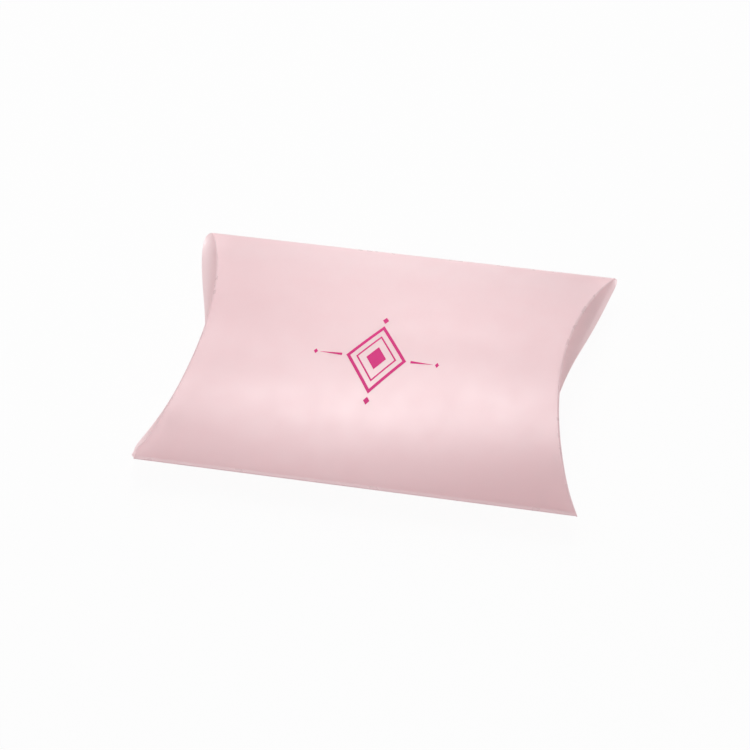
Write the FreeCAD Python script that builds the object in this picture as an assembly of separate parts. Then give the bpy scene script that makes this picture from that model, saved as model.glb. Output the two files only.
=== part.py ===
import FreeCAD, Part
import math
import os

# A pillow box: a flat tube of two bowed panels, folded from one scored plastic sheet and glued
# along one edge, with curved flaps that close its ends. X runs along the long folds, Y across
# them and Z up. The origin is on the table, under the middle of the back panel.

# Overall sizes in millimetres
length = 121.8            # between the pointed corners
width = 90.0              # between the score lines of the long folds
height = 17.0             # between the crowns of the two panels
end_hollow = 9.8          # how far each end crease bows in from its corners

# Sheet and glue seam
sheet = 0.45
glue_line = 0.1
glue_flap_width = 12.0
glue_flap_inset = 3.0     # the glue flap's ends stop this far behind the inner creases
glue_margin = 1.5         # bare sheet round the glue
fold_margin = 1.0         # sheet that a straight fold takes in past its inside corner
fold_round = 0.2          # radius of a folded long edge
fold_wear = 0.35          # share of the sheet's thickness lost at the corner of a curved crease

# Outer flaps hang from the front panel, and lean out by these degrees at the near corner, in the
# middle and at the far corner. The left one is ajar.
flap_lift = 0.6           # from the table to a flap's free edge if it hung upright
flap_corner_angle = 45.0  # between a flap's free edge and the table where it meets a corner
right_lean = (2.0, 1.0, 14.0)
left_lean = (30.0, 10.0, 48.0)

# Inner flaps stand on the back panel, and lean in by this many degrees
inner_overlap = 0.9       # how far they reach past the middle of the box's height
inner_width = 72.0
inner_corner = 5.0
inner_lean = 3.0

# Clearances
crease_gap = 0.03         # between a panel's edge and its curved crease
hinge_gap = 0.15          # between a curved crease and the flap that turns on it
flap_gap = 0.35           # between an outer flap and the inner crease behind it
corner_gap = 0.6          # from a corner to the end of a curved crease

# The arc of a panel, and the slope of the plane that holds each end crease
rise = height / 2
half_width = width / 2
bow = (half_width ** 2 + rise ** 2) / (2 * rise)
crease_slope = end_hollow / rise

# Depths of the flaps, and how far a bent sheet runs from its hinge before it is trimmed
flap_depth = height - flap_lift
inner_depth = rise + inner_overlap
bent_reach = 1.5 * height

# Sizes of the straight folds, where three layers of sheet and the glue meet in a wedge
edge_slope = half_width / (bow - rise)
layer = sheet * math.hypot(1, edge_slope)
seam_reveal = (2 * layer + glue_line) / (2 * edge_slope)
fold_reach = (3 * layer + glue_line) / (2 * edge_slope) + fold_margin
flat = half_width - fold_reach

# The inner creases are set back, so that an outer flap passes over them
inner_set = sheet + flap_gap

# A fold's section, in sheets out and down from its outer corner, with that corner worn round
fold_section = ((-1, 0), (-fold_wear, 0), (0, -fold_wear), (-1, -1))
overrun = 1.0             # how far cutting shapes reach past the long edges
station_count = 24


def vec(x, y, z):
    return FreeCAD.Vector(x, y, z)


def panel_z(y):
    """Height of the front panel's outer face."""
    return height - bow + math.sqrt(bow ** 2 - y ** 2)


def crease_x(y):
    """Place of the right outer crease along the box."""
    return length / 2 - crease_slope * (panel_z(y) - rise)


def stations(reach):
    """Even steps across the box, from -reach to reach."""
    return [reach * (2 * i / station_count - 1) for i in range(station_count + 1)]


def curve(points):
    """A smooth edge through the points."""
    spline = Part.BSplineCurve()
    spline.interpolate(points)
    return spline.toShape()


def inside_front(depth):
    """Everything further than depth from the front panel's outer face."""
    return Part.makeCylinder(bow - depth, length, vec(-length / 2, 0, height - bow), vec(1, 0, 0))


def inside_back(depth):
    """Everything further than depth from the back panel's outer face."""
    return Part.makeCylinder(bow - depth, length, vec(-length / 2, 0, bow), vec(1, 0, 0))


def strip(y_low, y_high):
    """A slab as long and as high as the box between two places across it."""
    return Part.makeBox(length, y_high - y_low, height, vec(-length / 2, y_low, 0))


def plan(setback):
    """The box's outline from above, drawn in at both ends and carried through its height."""
    right = [vec(crease_x(y) - setback, y, 0) for y in stations(half_width + overrun)]
    left = [vec(-p.x, p.y, 0) for p in right]
    sides = [Part.makeLine(left[i], right[i]) for i in (0, -1)]
    outline = Part.Wire(Part.__sortEdges__([curve(right), curve(left)] + sides))
    return Part.Face(outline).extrude(vec(0, 0, height))


def folded_lens():
    """The tube's outer shape as a solid lens, with its two long edges rounded."""
    lens = inside_front(0).common(inside_back(0))
    edges = [e for e in lens.Edges if abs(abs(e.CenterOfMass.y) - half_width) < fold_round]
    return lens.makeFillet(fold_round, edges)


def tube_pieces():
    """Panels, straight folds and glue seam, cut from the layers of the folded lens."""
    lens = folded_lens()
    front = lens.common(strip(-flat, flat)).cut(inside_front(sheet))
    back = lens.common(strip(-flat, half_width - seam_reveal)).cut(inside_back(sheet))
    hollow = inside_front(sheet).common(inside_back(sheet))
    side = lens.common(strip(-half_width, -flat)).cut(hollow)
    lap = sheet + glue_line
    seam_hollow = inside_front(sheet).common(inside_back(lap + sheet))
    lapped = strip(flat, half_width - seam_reveal).cut(inside_back(lap))
    seam = lens.common(strip(flat, half_width)).cut(seam_hollow).cut(lapped)
    flap_edge = flat - glue_flap_width
    glue_flap = strip(flap_edge, flat).common(inside_back(lap)).cut(inside_back(lap + sheet))
    glue_strip = strip(flap_edge + glue_margin, flat - glue_margin)
    glue = glue_strip.common(inside_back(sheet)).cut(inside_back(lap))
    tab_set = inner_set + glue_flap_inset
    return {
        "front_panel": front.common(plan(sheet + crease_gap)),
        "back_panel": back.common(plan(inner_set + sheet + crease_gap)),
        "side_fold": side.common(plan(inner_set)),
        "seam_fold": seam.common(plan(inner_set)),
        "glue_flap": glue_flap.common(plan(tab_set)),
        "seam_glue": glue.common(plan(tab_set + glue_margin)),
    }


def crease_line(setback, upward, reach):
    """The outer corner of a right end crease: the front one (upward -1) or the back one (1)."""
    mirror = (height + upward * height) / 2
    return [vec(crease_x(y) - setback, y, mirror - upward * panel_z(y)) for y in stations(reach)]


def between(rails):
    """The closed solid whose corners run along these rows of points."""
    edges = [curve(points) for points in rails]
    faces = [Part.makeRuledSurface(edges[i - 1], edges[i]) for i in range(len(edges))]
    for end in (0, -1):
        ring = [points[end] for points in rails]
        faces.append(Part.Face(Part.makePolygon(ring + ring[:1])))
    shell = Part.makeShell(faces)
    shell.sewShape()
    return Part.makeSolid(shell)


def crease(setback, upward, reach):
    """A curved living hinge: the fold's section carried along the crease."""
    line = crease_line(setback, upward, reach)
    corners = [vec(out, 0, -upward * down) * sheet for out, down in fold_section]
    return between([[point + corner for point in line] for corner in corners])


def panel_side(setback, upward):
    """The space on a panel's side of a crease, which the flap leaves free as it turns."""
    unit = math.hypot(1, crease_slope)
    away = vec(crease_slope, 0, upward) * (1 / unit)
    turning = vec(1, 0, -upward * crease_slope) * (height / unit)
    start = away * (fold_wear * sheet / unit + hinge_gap)
    line = [point + start for point in crease_line(setback, upward, half_width + overrun)]
    face = Part.makeRuledSurface(curve([p - turning for p in line]), curve([p + turning for p in line]))
    return face.extrude(away * -height)


def bent_sheet(hinge_line, leans, upward):
    """A sheet that leaves a curved hinge line along straight lines, each with its own lean out."""
    hinge = curve(hinge_line)
    rails = [[], [], [], []]
    for point, lean in zip(hinge_line, leans):
        angle = math.radians(lean)
        down = vec(math.sin(angle), 0, upward * math.cos(angle))
        along = hinge.tangentAt(hinge.Curve.parameter(point))
        inward = along.cross(down).normalize() * (-upward * sheet)
        far = point + down * bent_reach
        for rail, corner in zip(rails, (point, point + inward, far + inward, far)):
            rail.append(corner)
    return between(rails)


def end_slab(outline):
    """A slab across the right end, from a closed outline seen along the box."""
    return Part.Face(Part.Wire(outline)).extrude(vec(length, 0, 0))


def arc(start, middle, end):
    return Part.Arc(start, middle, end).toShape()


def outer_flap(lean):
    """A right outer flap: its free edge is straight, and swings up to the two corners."""
    hinge_line = crease_line(0, -1, half_width + overrun)
    near, middle, far = lean
    leans = [middle + ((far if p.y > 0 else near) - middle) * (p.y / half_width) ** 2 for p in hinge_line]
    base = height - flap_depth * math.cos(math.radians(middle))
    turn = math.radians(flap_corner_angle)
    swing = (rise - base) / (1 - math.cos(turn))
    straight = half_width - swing * math.sin(turn)
    mid_y = straight + swing * math.sin(turn / 2)
    mid_z = base + swing * (1 - math.cos(turn / 2))
    outline = [
        Part.makeLine(vec(0, -straight, base), vec(0, straight, base)),
        arc(vec(0, straight, base), vec(0, mid_y, mid_z), vec(0, half_width, rise)),
        Part.makeLine(vec(0, half_width, rise), vec(0, half_width, height)),
        Part.makeLine(vec(0, half_width, height), vec(0, -half_width, height)),
        Part.makeLine(vec(0, -half_width, height), vec(0, -half_width, rise)),
        arc(vec(0, -half_width, rise), vec(0, -mid_y, mid_z), vec(0, -straight, base)),
    ]
    return bent_sheet(hinge_line, leans, -1).cut(panel_side(0, -1)).common(end_slab(outline))


def inner_flap():
    """A right inner flap: narrower than the box and rounded at its two free corners."""
    hinge_line = crease_line(inner_set, 1, half_width)
    leans = [-inner_lean] * len(hinge_line)
    side = inner_width / 2
    flat_top = side - inner_corner
    bend = inner_corner * math.sqrt(0.5)
    shoulder = inner_depth - inner_corner
    outline = [
        Part.makeLine(vec(0, -side, 0), vec(0, side, 0)),
        Part.makeLine(vec(0, side, 0), vec(0, side, shoulder)),
        arc(vec(0, side, shoulder), vec(0, flat_top + bend, shoulder + bend), vec(0, flat_top, inner_depth)),
        Part.makeLine(vec(0, flat_top, inner_depth), vec(0, -flat_top, inner_depth)),
        arc(vec(0, -flat_top, inner_depth), vec(0, -flat_top - bend, shoulder + bend), vec(0, -side, shoulder)),
        Part.makeLine(vec(0, -side, shoulder), vec(0, -side, 0)),
    ]
    return bent_sheet(hinge_line, leans, 1).cut(panel_side(inner_set, 1)).common(end_slab(outline))


def left_of(shape):
    """The same piece at the left end."""
    return shape.mirror(vec(0, 0, 0), vec(1, 0, 0))


pieces = tube_pieces()
outer_crease = crease(0, -1, half_width - corner_gap)
inner_crease = crease(inner_set, 1, flat)
pieces["right_outer_crease"] = outer_crease
pieces["left_outer_crease"] = left_of(outer_crease)
pieces["right_inner_crease"] = inner_crease
pieces["left_inner_crease"] = left_of(inner_crease)
pieces["right_outer_flap"] = outer_flap(right_lean)
pieces["left_outer_flap"] = left_of(outer_flap(left_lean))
pieces["right_inner_flap"] = inner_flap()
pieces["left_inner_flap"] = left_of(inner_flap())

os.makedirs("parts", exist_ok=True)
for node, shape in pieces.items():
    print(f"{node}: {len(shape.Solids)} solid, valid {shape.isValid()}, {shape.Volume:.1f} mm3")
    shape.exportStep(f"parts/{node}.step")
hinge_set = sheet / 2
print(f"right outer hinge: x {crease_x(0) - hinge_set:.3f}, z {height - hinge_set:.3f}")
print(f"right inner hinge: x {crease_x(0) - inner_set - hinge_set:.3f}, z {hinge_set:.3f}")
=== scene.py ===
import math

import bpy
import numpy as np
from mathutils import Matrix


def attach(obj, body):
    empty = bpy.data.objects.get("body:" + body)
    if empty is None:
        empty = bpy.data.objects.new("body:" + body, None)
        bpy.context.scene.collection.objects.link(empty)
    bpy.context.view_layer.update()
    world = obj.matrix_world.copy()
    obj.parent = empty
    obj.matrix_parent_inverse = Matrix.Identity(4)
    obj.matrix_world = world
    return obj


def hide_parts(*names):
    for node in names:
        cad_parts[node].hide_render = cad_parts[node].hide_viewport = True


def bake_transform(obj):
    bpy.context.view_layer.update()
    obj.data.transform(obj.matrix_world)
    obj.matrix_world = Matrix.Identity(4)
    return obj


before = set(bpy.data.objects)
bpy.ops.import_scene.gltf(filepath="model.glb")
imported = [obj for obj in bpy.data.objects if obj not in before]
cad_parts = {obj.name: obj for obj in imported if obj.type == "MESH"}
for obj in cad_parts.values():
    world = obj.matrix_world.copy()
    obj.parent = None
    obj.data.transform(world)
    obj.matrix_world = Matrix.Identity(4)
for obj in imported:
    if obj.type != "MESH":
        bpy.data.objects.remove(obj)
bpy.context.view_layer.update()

# Sizes of the folded box in metres. X runs along the long folds, Y across them and Z up, with the
# table at zero. The half width reaches to the line where the faces of a long fold would meet, so it is
# a little more than the CAD model's, and the rounded edge brings it back to 45 mm.
LENGTH = 0.1218
HEIGHT = 0.017
HALF_WIDTH = 0.04535
RISE = HEIGHT / 2
HOLLOW = 0.0098
SHEET = 0.00045
HAIR_GAP = 0.00001
INNER_SET = 0.0008
INNER_HOLLOW = 0.0015
BOW = (HALF_WIDTH ** 2 + RISE ** 2) / (2 * RISE)
MIDDLE = np.array([0, 0, RISE])

# The straight folds: their edge round, and the line where they start, just inside the meeting of the
# two sheets' inner faces
EDGE_TILT = math.asin(HALF_WIDTH / BOW)
FOLD_SHEETS = 1.02
FOLD_LINE = HALF_WIDTH - FOLD_SHEETS * SHEET / math.tan(EDGE_TILT)
FOLD_ROUND = 0.0002

# The curved creases: their round and the flat lead on both sides, which shrink towards the corners
CREASE_ROUND = 0.00055
CREASE_LEAD = 0.0002
CORNER_TAPER = 0.004
LEAST_TAPER = 0.1

# How far the near corners of the creases are drawn out, where, and over what distance
RIGHT_CORNER_OUT, RIGHT_CORNER_SPREAD = 0.0005, 0.005
LEFT_CORNER_OUT, LEFT_CORNER_Y, LEFT_CORNER_SPREAD = 0.0011, -0.0423, 0.0021

# Share of the arc over which a fold is whitened: partly the score's own stress whitening, partly a painted
# highlight along the fold
SCORE_AND_SHEEN_MIDDLE, SCORE_AND_SHEEN_SPREAD = 0.5, 0.16

# Flaps
FLAP_LIFT = 0.0006
FLAP_CORNER = math.radians(38)
FLAP_CORNER_GAP = 0.0004
FLAP_END = HALF_WIDTH - FLAP_CORNER_GAP
LEAST_FLAP = 1.05
INNER_DEPTH = 0.0094
INNER_HALF = 0.0363
INNER_LEAN = math.radians(-3)
OUTER_CURL = 0.009
INNER_CURL = 0.0055
TONGUE_POWER = 12

# Leans of the outer flaps on the far and near sides of their middle. Each term is some degrees times a
# power of the share of the half width.
RIGHT_FAR_LEAN = ((-5, 0), (17, 1.2), (4, 8), (42, 24))
RIGHT_NEAR_LEAN = ((-5, 0), (4, 2))
LEFT_FAR_LEAN = ((10, 0), (24, 1.4), (21, 8), (14, 24))
LEFT_NEAR_LEAN = ((10, 0), (33, 1.15), (-75, 24))

# The printed lozenge: its middle on the front panel, and how far the ink stands off the sheet and
# reaches into it
PRINT_X, PRINT_Y = -0.0006, -0.005
INK_TOP, INK_FOOT = 0.00002, -0.00003

# Its pieces as half lengths along and across the box. A ring also has the share of its size that is open.
OUTER_RING = (0.0085, 0.0125, 0.87)
INNER_RING = (0.0057, 0.0084, 0.9)
HEART = (0.0028, 0.0041)
TIP_DOT, TIP_DOT_Y = (0.0009, 0.0013), 0.0148
RULE_START, RULE_END, RULE_WIDTH, RULE_NARROWING = 0.0097, 0.0160, 0.0009, 0.92
RULE_DOT, RULE_DOT_X = (0.0006, 0.0009), 0.0172

# Grid counts
ACROSS = 141
ALONG = 81
BEND_STEPS = 15
FLAP_STEPS = 31
LOZENGE_STEPS = 96
DOT_STEPS = 5
RULE_STEPS, RULE_ROWS = 25, 3
FOLD_ROUND_STEPS, FOLD_LEAD_STEPS = 9, 5
CORNER_STEPS = 7
CROWDING = 0.47 * math.pi
SHARP_FROM = math.radians(35)

# The sheet's gloss
SHEET_IOR = 2.8

# White ground: its share of white seen directly, its half size and how far it lies below the box
FLOOR_SHINE = 0.95
FLOOR_REACH, FLOOR_DROP = 3.0, 0.0001

# Light from all round, and the lamps: name, azimuth and elevation in degrees, width and height in metres,
# power in watts, and the distance where it isn't the usual one
WORLD_LIGHT = 0.36
LAMP_DISTANCE = 0.9
STUDIO = [
    ("back_low", -8, 8, 0.16, 0.22, 0.20),
    ("back_low_wide", -8, 8, 0.47, 0.24, 0.54, 1.0),
    ("back_middle", -8, 24, 0.16, 0.22, 0.15),
    ("back_middle_wide", -8, 24, 0.47, 0.24, 0.38, 1.0),
    ("back_upper", -8, 38, 0.16, 0.20, 0.38),
    ("back_upper_wide", -8, 38, 0.47, 0.22, 0.11, 1.0),
    ("back_high", -8, 50, 0.16, 0.16, 0.21),
    ("back_high_left", -24, 50, 0.16, 0.16, 0.25),
    ("back_crest", -8, 62, 0.16, 0.20, 0.56),
    ("left_crest", -26, 70, 0.22, 0.18, 0.78),
    ("left_above", -90, 68, 0.12, 0.12, 0.048, 0.24),
    ("left_close", -90, 82, 0.08, 0.08, 0.019, 0.20),
    ("left_low", -80, 5, 0.30, 0.12, 0.70, 0.60),
    ("right_low", 80, 5, 0.30, 0.12, 0.56, 0.60),
]

# Camera at the photograph's view: sensor and lens in mm, its three axes and its place
SENSOR_WIDTH, FOCAL_LENGTH = 36, 104.286
CAMERA_RIGHT = (0.98141, 0.18945, -0.03071)
CAMERA_UP = (-0.11979, 0.72968, 0.67322)
CAMERA_BACK = (0.14996, -0.65702, 0.73881)
CAMERA_PLACE = (0.09051, -0.40667, 0.46144)


def crown(y):
    """Height of the front panel's outer face: an arc of radius BOW across the box."""
    return HEIGHT - BOW + np.sqrt(BOW ** 2 - y ** 2)


def crease_x(y):
    """Distance of the front end crease from the middle: the panel's arc cut by a slanting plane."""
    return LENGTH / 2 - HOLLOW / RISE * (crown(y) - RISE)


def right_crease_x(y):
    """The same at the right end, whose near corner is drawn out a little."""
    return crease_x(y) + RIGHT_CORNER_OUT * np.exp(-(((y + HALF_WIDTH) / RIGHT_CORNER_SPREAD) ** 2))


def left_crease_x(y):
    """The same at the left end, whose near corner is pushed out into a round by the ajar flap."""
    return crease_x(y) + LEFT_CORNER_OUT * np.exp(-(((y - LEFT_CORNER_Y) / LEFT_CORNER_SPREAD) ** 2))


def inner_crease_x(y):
    """The same on the back panel, where the crease lies further in, most of all at its middle."""
    return crease_x(y) - INNER_SET - INNER_HOLLOW * (1 - (y / HALF_WIDTH) ** 2)


def stations(reach):
    """Places across the box from -reach to reach, on a sine so that they crowd at both ends."""
    return reach * np.sin(np.linspace(-CROWDING, CROWDING, ACROSS)) / math.sin(CROWDING)


def taper(y):
    """1 along the crease, falling on a quarter sine to LEAST_TAPER at its corners."""
    t = np.clip((HALF_WIDTH - np.abs(y)) / CORNER_TAPER, 0, 1)
    return LEAST_TAPER + (1 - LEAST_TAPER) * np.sin(t * math.pi / 2)


def flap_lean(y, far_terms, near_terms):
    """Lean of an outer flap in radians: the sum of the far terms beyond the middle of the box, and of
    the near terms on this side of it."""
    q = np.abs(y) / HALF_WIDTH
    far = sum(degrees * q ** power for degrees, power in far_terms)
    near = sum(degrees * q ** power for degrees, power in near_terms)
    return np.radians(np.where(y > 0, far, near))


def right_lean(y):
    """Lean of the closed flap: pressed in at its middle, and springing out at its far corner."""
    return flap_lean(y, RIGHT_FAR_LEAN, RIGHT_NEAR_LEAN)


def left_lean(y):
    """Lean of the ajar flap: more towards both corners, and most at the far one."""
    return flap_lean(y, LEFT_FAR_LEAN, LEFT_NEAR_LEAN)


def inner_lean(y):
    """Lean of an inner flap in radians: a little inwards all along."""
    return np.full_like(y, INNER_LEAN)


def crease_reach(y, lean):
    """How far a crease's round and lead take up the sheet, measured from the sharp fold line."""
    return (CREASE_ROUND * np.tan((math.pi / 2 - lean) / 2) + CREASE_LEAD) * taper(y)


def panel(y, left_end, right_end):
    """Outer face and normals of the front panel: straight along the box between two end lines, an
    arc across it."""
    u = np.linspace(0, 1, ALONG)[None, :]
    x = left_end[:, None] * (1 - u) + right_end[:, None] * u
    level = 0 * x
    outer = np.stack([x, y[:, None] + level, crown(y)[:, None] + level], axis=2)
    tilt = y[:, None] / BOW + level
    return outer, np.stack([level, tilt, np.sqrt(1 - tilt ** 2)], axis=2)


def bend(y, lean, start):
    """Outer face and normals of a right front crease. In each section across the box it is a flat
    lead, an arc that turns the sheet from level to the flap's lean, and a lead down the flap."""
    turn = (math.pi / 2 - lean)[:, None]
    size = taper(y)[:, None]
    radius = CREASE_ROUND * size
    tangent = radius * np.tan(turn / 2)
    reach = tangent + CREASE_LEAD * size
    a = turn * np.linspace(0, 1, BEND_STEPS)[None, :]
    level = 0 * reach
    x = np.concatenate([-reach, radius * np.sin(a) - tangent, reach * np.cos(turn)], axis=1)
    z = np.concatenate([level, radius * np.cos(a) - radius, -reach * np.sin(turn)], axis=1)
    a = np.concatenate([level, a, turn + level], axis=1)
    return section(y, start, x, z, np.cos(a), -np.sin(a))


def flap(y, lean, start, depth):
    """Outer face and normals of a right outer flap: straight lines, each with its own lean, from the
    crease's lead to depth."""
    top = crease_reach(y, lean) + HAIR_GAP
    v = np.linspace(0, 1, FLAP_STEPS)[None, :]
    s = top[:, None] * (1 - v) + np.maximum(depth, LEAST_FLAP * top)[:, None] * v
    out, down = np.sin(lean)[:, None], -np.cos(lean)[:, None]
    return section(y, start, s * out, s * down, out + 0 * s, down + 0 * s)


def section(y, start, x, z, along_x, along_z):
    """Points x outwards and z up from a crease line in the sections at y, and the normals there: across
    the section's direction and the step to the next section."""
    level = 0 * x
    outer = np.stack([start[:, None] + x, y[:, None] + level, crown(y)[:, None] + z], axis=2)
    along = np.stack([along_x, level, along_z], axis=2)
    normal = np.cross(along, np.gradient(outer, y, axis=0))
    return outer, normal / np.linalg.norm(normal, axis=2, keepdims=True)


def free_depth(y, lean):
    """How far an outer flap reaches from its crease: to a straight edge near the table, which swings
    up to both corners on an arc that meets them at FLAP_CORNER."""
    swing = (RISE - FLAP_LIFT) / (1 - math.cos(FLAP_CORNER))
    beyond = np.clip(np.abs(y) - HALF_WIDTH + swing * math.sin(FLAP_CORNER), 0, None)
    edge = FLAP_LIFT + swing - np.sqrt(swing ** 2 - beyond ** 2)
    return (crown(y) - edge) / np.cos(lean)


def tongue_depth(y):
    """How far an inner flap reaches from its crease: a tongue with rounded corners, on a curve of
    the power TONGUE_POWER."""
    q = np.clip(np.abs(y) / INNER_HALF, 0, 1)
    return INNER_DEPTH * np.sqrt(1 - q ** TONGUE_POWER)


def moved(points, end, upward):
    """Points of a right front piece at the left end (end -1) or on the back (upward -1)."""
    x, y, z = np.moveaxis(points, -1, 0)
    return np.stack([end * x, y, RISE + upward * (z - RISE)], axis=-1)


def grid_quads(rows, columns):
    """Corner numbers of the quads of a grid of points, counted row by row."""
    first = (np.arange(rows - 1)[:, None] * columns + np.arange(columns - 1)[None, :]).reshape(-1)
    return np.stack([first, first + 1, first + columns + 1, first + columns], axis=1)


def border(rows, columns):
    """Numbers of a grid's border points, once round."""
    index = np.arange(rows * columns).reshape(rows, columns)
    return np.concatenate([index[0, :-1], index[:-1, -1], index[-1, :0:-1], index[:0:-1, 0]])


def shell(outer, inner):
    """A closed thin sheet between two grids of points: both faces, and a wall round the border."""
    rows, columns = outer.shape[:2]
    count = rows * columns
    face = grid_quads(rows, columns)
    rim = border(rows, columns)
    after = np.roll(rim, -1)
    wall = np.stack([after, rim, rim + count, after + count], axis=1)
    points = np.concatenate([outer.reshape(-1, 3), inner.reshape(-1, 3)])
    return points, [face, face[:, ::-1] + count, wall]


def carried(profile_y, profile_z, left_end, right_end):
    """A closed profile across the box carried along it between two end lines, with a fan of
    triangles over both ends."""
    u = np.linspace(0, 1, ALONG)[:, None]
    level = 0 * u
    x = left_end * (1 - u) + right_end * u
    rings = np.stack([x, profile_y[None, :] + level, profile_z[None, :] + level], axis=2)
    rows, columns = rings.shape[:2]
    index = np.arange(rows * columns).reshape(rows, columns)
    after = np.roll(index, -1, axis=1)
    wall = np.stack([index[:-1], after[:-1], after[1:], index[1:]], axis=2).reshape(-1, 4)
    hub = rows * columns + np.zeros(columns, int)
    near = np.stack([after[0], index[0], hub], axis=1)
    far = np.stack([index[-1], after[-1], hub + 1], axis=1)
    hubs = np.stack([rings[0].mean(0), rings[-1].mean(0)])
    return np.concatenate([rings.reshape(-1, 3), hubs]), [wall, near, far]


def printed(a, b, lift):
    """Points on the front panel, a along and b across the box from the print's middle, lifted off it."""
    y = PRINT_Y + b
    tilt = y / BOW
    return np.stack([PRINT_X + a, y + lift * tilt, crown(y) + lift * np.sqrt(1 - tilt ** 2)], axis=-1)


def lozenge_outline(half_a, half_b, inner):
    """A ring of ink: a flat rectangle carried once round the lozenge |a| + |b| = 1, from the share
    inner of its size to its whole size."""
    turn = np.arange(LOZENGE_STEPS)[:, None] / LOZENGE_STEPS * 2 * math.pi
    size = np.array([[inner, 1, 1, inner]]) / (np.abs(np.cos(turn)) + np.abs(np.sin(turn)))
    lift = np.array([[INK_FOOT, INK_FOOT, INK_TOP, INK_TOP]])
    points = printed(half_a * np.cos(turn) * size, half_b * np.sin(turn) * size, lift)
    index = np.arange(points[..., 0].size).reshape(-1, 4)
    after, beside = np.roll(index, -1, axis=0), np.roll(index, -1, axis=1)
    across = np.roll(after, -1, axis=1)
    return points.reshape(-1, 3), [np.stack([index, beside, across, after], axis=2).reshape(-1, 4)]


def lozenge_dot(at_a, at_b, half_a, half_b):
    """A filled lozenge: the square of u and v turned by 45 degrees."""
    u, v = np.meshgrid(*[np.linspace(-1, 1, DOT_STEPS)] * 2, indexing="ij")
    a, b = at_a + half_a * (u + v) / 2, at_b + half_b * (u - v) / 2
    return shell(printed(a, b, INK_TOP), printed(a, b, INK_FOOT))


def tapered_rule(start, end, width):
    """A straight line of ink along the box, which narrows evenly to a fine tip at its end."""
    u, v = np.meshgrid(np.linspace(0, 1, RULE_STEPS), np.linspace(-0.5, 0.5, RULE_ROWS), indexing="ij")
    a, b = start + (end - start) * u, v * width * (1 - RULE_NARROWING * u)
    return shell(printed(a, b, INK_TOP), printed(a, b, INK_FOOT))


def joined(parts):
    """Several closed sets of points and faces as one, each facing outwards."""
    parts = [facing_out(*part) for part in parts]
    starts = np.cumsum([0] + [len(points) for points, _ in parts])
    faces = [face + start for (_, sets), start in zip(parts, starts) for face in sets]
    return np.concatenate([points for points, _ in parts]), faces


def facing_out(points, faces):
    """A closed set of points and faces with its faces turned outwards, by the sign of its volume: the
    sum of the triple products of the faces' triangles."""
    middle = points - points.mean(0)
    volume = 0.0
    for face in faces:
        for i in range(1, face.shape[1] - 1):
            volume += np.sum(middle[face[:, 0]] * np.cross(middle[face[:, i]], middle[face[:, i + 1]]))
    return points, [face[:, ::-1] for face in faces] if volume < 0 else faces


def add_piece(name, points, faces, material, slot, nodes, score_and_sheen=None):
    """A mesh object from arrays of points and faces, turned to face outwards, in place of CAD nodes. The
    last argument says how far the sheet is whitened at each point, partly the score's stress whitening and
    partly a painted highlight."""
    points, faces = facing_out(points, faces)
    mesh = bpy.data.meshes.new(name)
    mesh.from_pydata(points.tolist(), [], [corners for face in faces for corners in face.tolist()])
    mesh.shade_smooth()
    mesh.set_sharp_from_angle(angle=SHARP_FROM)
    # Whitening of the fold: stress whitening of the score and a painted highlight
    if score_and_sheen is not None:
        mesh.attributes.new("score_and_sheen", "FLOAT", "POINT").data.foreach_set("value", score_and_sheen)
    mesh.materials.append(material)
    made = bpy.data.objects.new(name, mesh)
    bpy.context.scene.collection.objects.link(made)
    if nodes:
        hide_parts(*nodes)
    return made


def shader_node(tree, kind, settings=None, sockets=None, **inputs):
    """A shader node with its properties and inputs set, by name or by number. A socket is linked."""
    made = tree.nodes.new(kind)
    for key, value in (settings or {}).items():
        setattr(made, key, value)
    named = {key.replace("_", " "): value for key, value in inputs.items()}
    for key, value in {**named, **(sockets or {})}.items():
        if isinstance(value, bpy.types.NodeSocket):
            tree.links.new(value, made.inputs[key])
        else:
            made.inputs[key].default_value = value
    return made


def shader_group(name, inputs, outputs):
    """An empty shader node group with named float sockets, and its entry and exit."""
    tree = bpy.data.node_groups.new(name, "ShaderNodeTree")
    for label, value in inputs.items():
        socket = tree.interface.new_socket(label, in_out="INPUT", socket_type="NodeSocketFloat")
        socket.default_value = value
    for label in outputs:
        tree.interface.new_socket(label, in_out="OUTPUT", socket_type="NodeSocketFloat")
    return tree, tree.nodes.new("NodeGroupInput").outputs, tree.nodes.new("NodeGroupOutput").inputs


def frost_group():
    """Frosted plastic: clouds a few millimetres wide in the tint, and a fine matt grain."""
    tree, enter, leave = shader_group(
        "frosted_grain", {"Cloud Scale": 160.0, "Grain Scale": 5200.0}, ("Clouds", "Grain")
    )
    place = shader_node(tree, "ShaderNodeTexCoord").outputs["Object"]
    clouds = shader_node(
        tree, "ShaderNodeTexNoise", Vector=place, Scale=enter["Cloud Scale"], Detail=3.0
    )
    grain = shader_node(
        tree, "ShaderNodeTexNoise", Vector=place, Scale=enter["Grain Scale"], Detail=2.0
    )
    spread = shader_node(
        tree, "ShaderNodeMapRange", Value=clouds.outputs["Fac"], sockets={"From Min": 0.3, "From Max": 0.7}
    )
    tree.links.new(spread.outputs[0], leave["Clouds"])
    tree.links.new(grain.outputs["Fac"], leave["Grain"])
    return tree


def new_material(name):
    """An empty material and its node tree."""
    material = bpy.data.materials.new(name)
    material.use_nodes = True
    material.node_tree.nodes.clear()
    return material, material.node_tree


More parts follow.
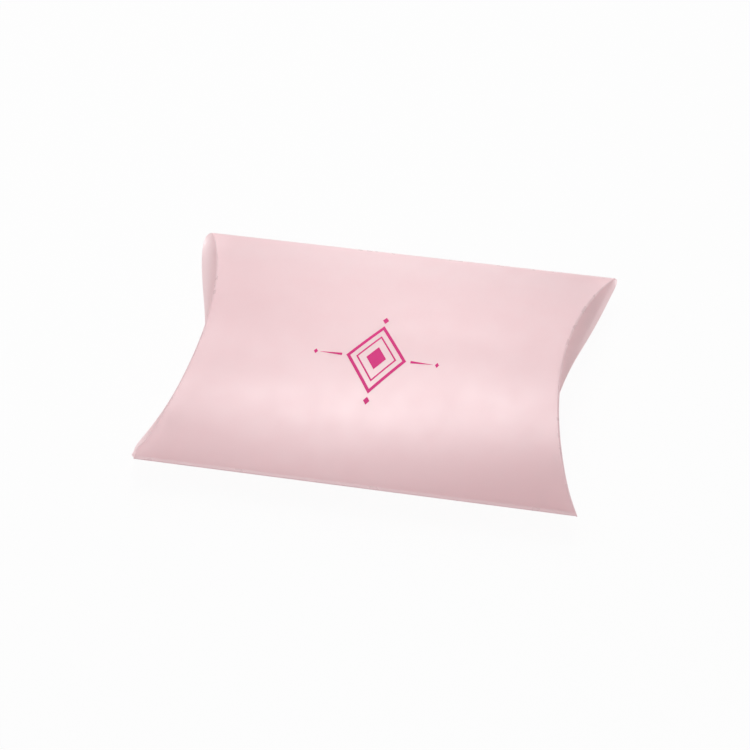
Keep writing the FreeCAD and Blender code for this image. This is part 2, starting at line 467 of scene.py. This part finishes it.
def sheet_material(name, pale, deep, through, smooth, rough, clear, score_and_sheen_colour=None):
    """Frosted polypropylene: a satin tinted face, which also lets soft light through. Where a fold is
    whitened it takes on the last colour, partly the score's stress whitening and partly a painted
    highlight."""
    material, tree = new_material(name)
    frost = shader_node(tree, "ShaderNodeGroup", {"node_tree": FROST}).outputs
    tint = shader_node(
        tree, "ShaderNodeMix", {"data_type": "RGBA"}, {0: frost["Clouds"], 6: (*pale, 1), 7: (*deep, 1)}
    )
    # Whitening along the fold, set by the attribute: the score's stress whitening and a painted highlight
    if score_and_sheen_colour:
        score_and_sheen = shader_node(tree, "ShaderNodeAttribute", {"attribute_name": "score_and_sheen"}).outputs["Fac"]
        tint = shader_node(
            tree, "ShaderNodeMix", {"data_type": "RGBA"}, {0: score_and_sheen, 6: tint.outputs[2], 7: (*score_and_sheen_colour, 1)}
        )
    matt = shader_node(
        tree, "ShaderNodeMapRange", Value=frost["Clouds"], sockets={"To Min": smooth, "To Max": rough}
    )
    grain = shader_node(tree, "ShaderNodeBump", Strength=0.25, Distance=0.00002, Height=frost["Grain"])
    face = shader_node(
        tree, "ShaderNodeBsdfPrincipled", Base_Color=tint.outputs[2], Roughness=matt.outputs[0],
        IOR=SHEET_IOR, Normal=grain.outputs[0],
    )
    glow = shader_node(tree, "ShaderNodeBsdfTranslucent", Color=(*through, 1), Normal=grain.outputs[0])
    both = shader_node(
        tree, "ShaderNodeMixShader", sockets={0: clear, 1: face.outputs[0], 2: glow.outputs[0]}
    )
    shader_node(tree, "ShaderNodeOutputMaterial", Surface=both.outputs[0])
    return material


def ink_material(name, bright, dark):
    """Glossy ink, a little uneven in the cloud of the sheet under it."""
    material, tree = new_material(name)
    frost = shader_node(tree, "ShaderNodeGroup", {"node_tree": FROST}).outputs
    ink = shader_node(
        tree, "ShaderNodeMix", {"data_type": "RGBA"}, {0: frost["Clouds"], 6: (*bright, 1), 7: (*dark, 1)}
    )
    matt = shader_node(
        tree, "ShaderNodeMapRange", Value=frost["Grain"], sockets={"To Min": 0.3, "To Max": 0.45}
    )
    face = shader_node(
        tree, "ShaderNodeBsdfPrincipled", Base_Color=ink.outputs[2], Roughness=matt.outputs[0], IOR=1.3
    )
    shader_node(tree, "ShaderNodeOutputMaterial", Surface=face.outputs[0])
    return material


def seen_directly(tree):
    """1 for rays from the camera, a gloss or a clear surface, which see the white ground, and 0 for
    others."""
    path = shader_node(tree, "ShaderNodeLightPath").outputs
    found = path["Is Camera Ray"]
    for other in ("Is Glossy Ray", "Is Transmission Ray"):
        found = shader_node(
            tree, "ShaderNodeMath", {"operation": "MAXIMUM"}, {0: found, 1: path[other]}
        ).outputs[0]
    return found


def place_in_scene(made, x, y, z, at):
    """Links an object with its three axes and its place."""
    made.matrix_world = Matrix([[x[i], y[i], z[i], at[i]] for i in range(3)] + [[0, 0, 0, 1]])
    bpy.context.scene.collection.objects.link(made)


def softbox(name, azimuth, elevation, width, height, power, distance=LAMP_DISTANCE):
    """A rectangular lamp turned to the box. Azimuth is clockwise from behind the box, in degrees."""
    lamp = bpy.data.lights.new(name, "AREA")
    lamp.shape = "RECTANGLE"
    lamp.size, lamp.size_y, lamp.energy = width, height, power
    az, el = math.radians(azimuth), math.radians(elevation)
    z = np.array([math.cos(el) * math.sin(az), math.cos(el) * math.cos(az), math.sin(el)])
    x = np.cross([0, 0, 1.0], z)
    x /= np.linalg.norm(x)
    place_in_scene(bpy.data.objects.new(name, lamp), x, np.cross(z, x), z, MIDDLE + z * distance)


FROST = frost_group()
sheet_look = sheet_material(
    "frosted_sheet", pale=(0.90, 0.73, 0.75), deep=(0.89, 0.70, 0.723), through=(0.925, 0.74, 0.76),
    smooth=0.30, rough=0.34, clear=0.5,
)
# Flaps: the same sheet with a paler tint, which is painted light for the brighter flaps, and with a larger
# share of light let through
pale_lit_flap_look = sheet_material(
    "pale_lit_flap_sheet", pale=(0.905, 0.775, 0.79), deep=(0.895, 0.745, 0.762), through=(0.935, 0.81, 0.82),
    smooth=0.30, rough=0.34, clear=0.58,
)
# Creases: the sheet a little paler and glossier, whitened along the middle of the fold, partly as the
# score's stress whitening and partly as a painted highlight
crease_look = sheet_material(
    "scored_and_highlit_sheet", pale=(0.90, 0.745, 0.765), deep=(0.89, 0.715, 0.738), through=(0.92, 0.76, 0.78),
    smooth=0.26, rough=0.32, clear=0.5, score_and_sheen_colour=(0.99, 0.95, 0.955),
)
glue_look = sheet_material(
    "clear_glue", pale=(0.93, 0.90, 0.88), deep=(0.91, 0.88, 0.86), through=(0.95, 0.93, 0.92),
    smooth=0.12, rough=0.20, clear=0.7,
)
ink_look = ink_material("magenta_ink", bright=(0.82, 0.012, 0.24), dark=(0.76, 0.010, 0.21))

# Panels
y_panel = stations(FOLD_LINE - HAIR_GAP)
left_end = crease_reach(y_panel, left_lean(y_panel)) - left_crease_x(y_panel) + HAIR_GAP
right_end = right_crease_x(y_panel) - crease_reach(y_panel, right_lean(y_panel)) - HAIR_GAP
back_end = inner_crease_x(y_panel) - crease_reach(y_panel, inner_lean(y_panel)) - HAIR_GAP
outer, normal = panel(y_panel, left_end, right_end)
faces = shell(outer, outer - SHEET * normal)
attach(add_piece("front_sheet", *faces, sheet_look, "sheet", ["front_panel"]), "carton")
outer, normal = panel(y_panel, -back_end, back_end)
outer, inner = moved(outer, 1, -1), moved(outer - SHEET * normal, 1, -1)
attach(add_piece("back_sheet", *shell(outer, inner), sheet_look, "sheet", ["back_panel"]), "carton")

# Straight folds: the wedge where the two panels meet, with its edge rounded
tip = HALF_WIDTH - FOLD_ROUND / math.sin(EDGE_TILT)
a = np.linspace(math.pi / 2 - EDGE_TILT, EDGE_TILT - math.pi / 2, FOLD_ROUND_STEPS)
round_y, round_z = tip + FOLD_ROUND * np.cos(a), RISE + FOLD_ROUND * np.sin(a)
lead_y = np.linspace(FOLD_LINE, round_y[0], FOLD_LEAD_STEPS)[:-1]
lead_z = crown(lead_y)
inside_y = FOLD_LINE * (1 - SHEET / BOW)
profile_y = np.concatenate([lead_y, round_y, lead_y[::-1], [inside_y]])
profile_z = np.concatenate([lead_z, round_z, HEIGHT - lead_z[::-1], [RISE]])
inside = np.where(profile_z < RISE, INNER_SET, 0)
for side, name in ((-1, "side_fold"), (1, "seam_fold")):
    y = side * profile_y
    left_end = inside + crease_reach(y, left_lean(y)) - left_crease_x(y) + HAIR_GAP
    right_end = right_crease_x(y) - crease_reach(y, right_lean(y)) - inside - HAIR_GAP
    fold = carried(y, profile_z, left_end, right_end)
    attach(add_piece(f"{name}_edge", *fold, crease_look, "crease", [name]), "carton")

# Curved creases, which stay with the panels, and flaps
corner_y = np.linspace(FOLD_LINE - HAIR_GAP, FLAP_END, CORNER_STEPS)[1:]
y_outer = np.concatenate([-corner_y[::-1], y_panel, corner_y])
y_inner = stations(INNER_HALF)
arc_share = np.linspace(0, 1, BEND_STEPS)
# Whitening across each crease's arc, strongest at its middle: the score's stress whitening and a painted
# highlight
score_and_sheen_line = np.concatenate([[0], np.exp(-(((arc_share - SCORE_AND_SHEEN_MIDDLE) / SCORE_AND_SHEEN_SPREAD) ** 2)), [0]])
ends = ((1, "right", right_lean, right_crease_x), (-1, "left", left_lean, left_crease_x))
for end, side, lean_of, line_of in ends:
    for layer, y, lean, line, upward, depth, curl in (
        ("outer", y_outer, lean_of(y_outer), line_of, 1, free_depth(y_outer, lean_of(y_outer)), OUTER_CURL),
        ("inner", y_inner, inner_lean(y_inner), inner_crease_x, -1, tongue_depth(y_inner), INNER_CURL),
    ):
        thickness = SHEET * taper(y)[:, None, None]
        outer, normal = bend(y, lean, line(y))
        outer, inner = moved(outer, end, upward), moved(outer - thickness * normal, end, upward)
        crease = add_piece(
            f"{side}_{layer}_fold_line", *shell(outer, inner), crease_look, "crease",
            [f"{side}_{layer}_crease"], score_and_sheen=np.tile(score_and_sheen_line, 2 * len(y)),
        )
        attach(crease, "carton")
        outer, normal = flap(y, lean, line(y), depth)
        outer, inner = moved(outer, end, upward), moved(outer - thickness * normal, end, upward)
        closure = add_piece(
            f"{side}_{layer}_closure", *shell(outer, inner), pale_lit_flap_look, "sheet", [f"{side}_{layer}_flap"]
        )
        crest = np.array([line(0.0), 0, HEIGHT])
        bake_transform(closure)

# Printed lozenge with a dot at both tips, and a tapered rule and a dot on both sides
print_parts = [
    lozenge_outline(*OUTER_RING),
    lozenge_outline(*INNER_RING),
    lozenge_dot(0, 0, *HEART),
    lozenge_dot(0, TIP_DOT_Y, *TIP_DOT),
    lozenge_dot(0, -TIP_DOT_Y, *TIP_DOT),
]
for side in (-1, 1):
    print_parts += [
        tapered_rule(side * RULE_START, side * RULE_END, RULE_WIDTH),
        lozenge_dot(side * RULE_DOT_X, 0, *RULE_DOT),
    ]
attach(add_piece("printed_lozenge", *joined(print_parts), ink_look, "imprint", []), "carton")

# The glue flap and its glue keep the CAD model's shape
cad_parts["glue_flap"].material_slots[0].material = sheet_look
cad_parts["seam_glue"].material_slots[0].material = glue_look

# White ground and surroundings
ground_look, tree = new_material("white_ground")
paper = shader_node(tree, "ShaderNodeBsdfDiffuse", Color=(0.9, 0.9, 0.9, 1))
white = shader_node(tree, "ShaderNodeEmission", Color=(1, 1, 1, 1), Strength=1.0)
share = shader_node(
    tree, "ShaderNodeMath", {"operation": "MULTIPLY"}, {0: seen_directly(tree), 1: FLOOR_SHINE}
)
ground = shader_node(
    tree, "ShaderNodeMixShader", sockets={0: share.outputs[0], 1: paper.outputs[0], 2: white.outputs[0]}
)
shader_node(tree, "ShaderNodeOutputMaterial", Surface=ground.outputs[0])
ground_look.cycles.emission_sampling = "NONE"
mesh = bpy.data.meshes.new("floor")
corners = [(-1, -1), (1, -1), (1, 1), (-1, 1)]
points = [(x * FLOOR_REACH, y * FLOOR_REACH, -FLOOR_DROP) for x, y in corners]
mesh.from_pydata(points, [], [(0, 1, 2, 3)])
mesh.materials.append(ground_look)
floor = bpy.data.objects.new("floor", mesh)
bpy.context.scene.collection.objects.link(floor)

world = bpy.data.worlds.new("studio")
bpy.context.scene.world = world
world.use_nodes = True
tree = world.node_tree
level = shader_node(
    tree, "ShaderNodeMapRange", Value=seen_directly(tree), sockets={"To Min": WORLD_LIGHT, "To Max": 1.0}
)
tree.nodes["Background"].inputs["Color"].default_value = (1, 1, 1, 1)
tree.links.new(level.outputs[0], tree.nodes["Background"].inputs["Strength"])

for lamp in STUDIO:
    softbox(*lamp)

lens = bpy.data.cameras.new("camera")
lens.sensor_width, lens.lens = SENSOR_WIDTH, FOCAL_LENGTH
camera = bpy.data.objects.new("camera", lens)
place_in_scene(camera, CAMERA_RIGHT, CAMERA_UP, CAMERA_BACK, CAMERA_PLACE)
bpy.context.scene.camera = camera

bpy.context.scene.view_settings.view_transform = "Standard"
